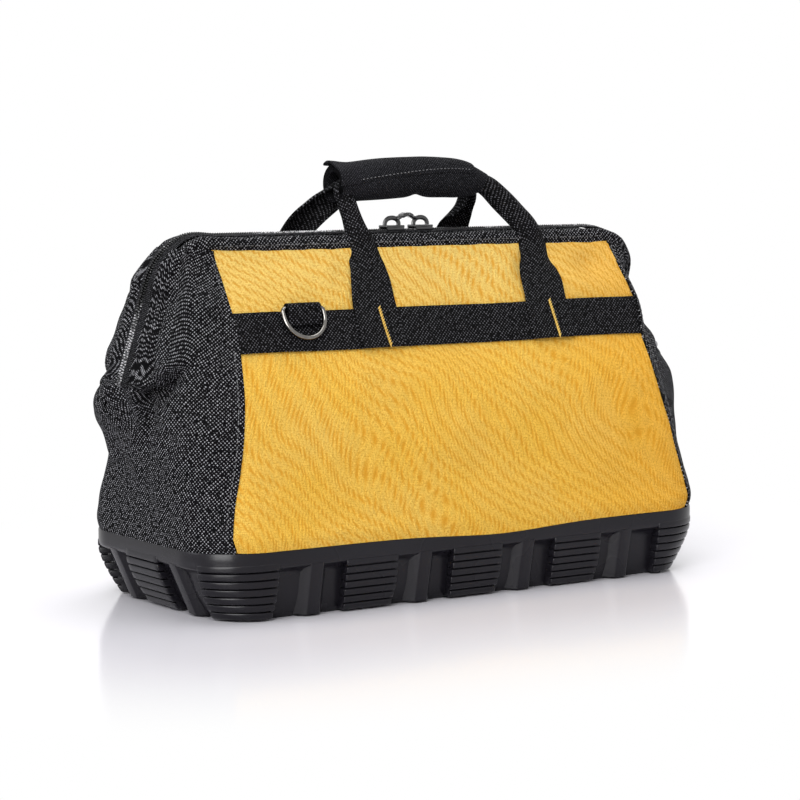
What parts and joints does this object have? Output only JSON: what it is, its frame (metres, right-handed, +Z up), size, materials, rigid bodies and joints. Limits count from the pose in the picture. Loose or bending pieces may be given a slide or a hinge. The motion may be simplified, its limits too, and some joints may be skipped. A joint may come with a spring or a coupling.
{
  "type": "tool bag",
  "caption": "Soft tool bag with a moulded base, a wire-framed wide mouth with a two-way zip, a padded wrap grip on two webbing handles and two D-rings.",
  "frame": {"origin": "middle of the base on the floor", "axes": "+X along the bag to the right, the front faces -Y, +Z up"},
  "size_m": [0.433, 0.173, 0.2825],
  "materials": {
    "base_plastic": "satin moulded plastic",
    "board": "matt stiff board",
    "yellow_cloth": "plain woven polyester, golden yellow",
    "black_cloth": "plain woven polyester, black with pale thread specks",
    "webbing": "heavy woven webbing",
    "hem_cloth": "folded woven hem",
    "grip_pad": "padded woven wrap",
    "steel": "drawn rod",
    "nickel": "nickel plated",
    "zip_black": "woven tape with nylon coil",
    "zip_metal_black": "gloss black lacquer"
  },
  "bodies": {
    "body": {"base_tray": "base_plastic", "base_board": "board", "front_panel_lower": "yellow_cloth", "rear_panel_lower": "yellow_cloth", "left_end_panel": "black_cloth", "right_end_panel": "black_cloth", "left_hinge_tab": "webbing", "right_hinge_tab": "webbing", "left_hinge_pin": "steel", "right_hinge_pin": "steel"},
    "mouth_front": {"front_panel_upper": "yellow_cloth", "front_left_gusset": "black_cloth", "front_right_gusset": "black_cloth", "front_band": "webbing", "front_left_strap": "webbing", "front_right_strap": "webbing", "front_ring_loop": "webbing", "front_sleeve": "hem_cloth", "front_frame": "steel", "front_hinge_lugs": "steel", "front_zip_tape": "zip_black", "front_zip_teeth": "zip_black"},
    "mouth_rear": {"rear_panel_upper": "yellow_cloth", "rear_left_gusset": "black_cloth", "rear_right_gusset": "black_cloth", "rear_band": "webbing", "rear_left_strap": "webbing", "rear_right_strap": "webbing", "rear_ring_loop": "webbing", "rear_sleeve": "hem_cloth", "rear_frame": "steel", "rear_hinge_lugs": "steel", "rear_zip_tape": "zip_black", "rear_zip_teeth": "zip_black"},
    "handle_front": {"front_handle_webbing": "webbing", "front_grip": "grip_pad"},
    "handle_rear": {"rear_handle_webbing": "webbing", "rear_grip": "grip_pad"},
    "ring_front": {"front_ring": "nickel"},
    "ring_rear": {"rear_ring": "nickel"},
    "slider_left": {"left_slider": "zip_metal_black"},
    "slider_right": {"right_slider": "zip_metal_black"},
    "pull_left": {"left_pull": "zip_metal_black"},
    "pull_right": {"right_pull": "zip_metal_black"}
  },
  "joints": [
    {"name": "front_mouth_hinge", "type": "hinge", "parent": "body", "child": "mouth_front", "pos_m": [0, 0, 0.138], "axis": [1, 0, 0], "range_deg": [0, 55], "deforming": ["front_left_gusset", "front_right_gusset"]},
    {"name": "rear_mouth_hinge", "type": "hinge", "parent": "body", "child": "mouth_rear", "pos_m": [0, 0, 0.138], "axis": [-1, 0, 0], "range_deg": [0, 55], "deforming": ["rear_left_gusset", "rear_right_gusset"]},
    {"name": "front_handle_fold", "type": "hinge", "parent": "mouth_front", "child": "handle_front", "pos_m": [0, -0.0195, 0.227], "axis": [1, 0, 0], "range_deg": [0, 100]},
    {"name": "rear_handle_fold", "type": "hinge", "parent": "mouth_rear", "child": "handle_rear", "pos_m": [0, 0.0195, 0.227], "axis": [-1, 0, 0], "range_deg": [0, 100]},
    {"name": "front_ring_swing", "type": "hinge", "parent": "mouth_front", "child": "ring_front", "pos_m": [0, -0.0443, 0.18946], "axis": [-1, 0, 0], "range_deg": [0, 140]},
    {"name": "rear_ring_swing", "type": "hinge", "parent": "mouth_rear", "child": "ring_rear", "pos_m": [0, 0.0443, 0.18946], "axis": [1, 0, 0], "range_deg": [0, 140]},
    {"name": "left_slider_run", "type": "slide", "parent": "mouth_front", "child": "slider_left", "axis": [-1, 0, 0], "range_m": [0, 0.13]},
    {"name": "right_slider_run", "type": "slide", "parent": "mouth_front", "child": "slider_right", "axis": [1, 0, 0], "range_m": [0, 0.125]},
    {"name": "left_pull_swing", "type": "hinge", "parent": "slider_left", "child": "pull_left", "pos_m": [-0.0051, 0, 0.2424], "axis": [0, -1, 0], "range_deg": [0, 76]},
    {"name": "right_pull_swing", "type": "hinge", "parent": "slider_right", "child": "pull_right", "pos_m": [0.0101, 0, 0.2424], "axis": [0, 1, 0], "range_deg": [0, 76]}
  ]
}
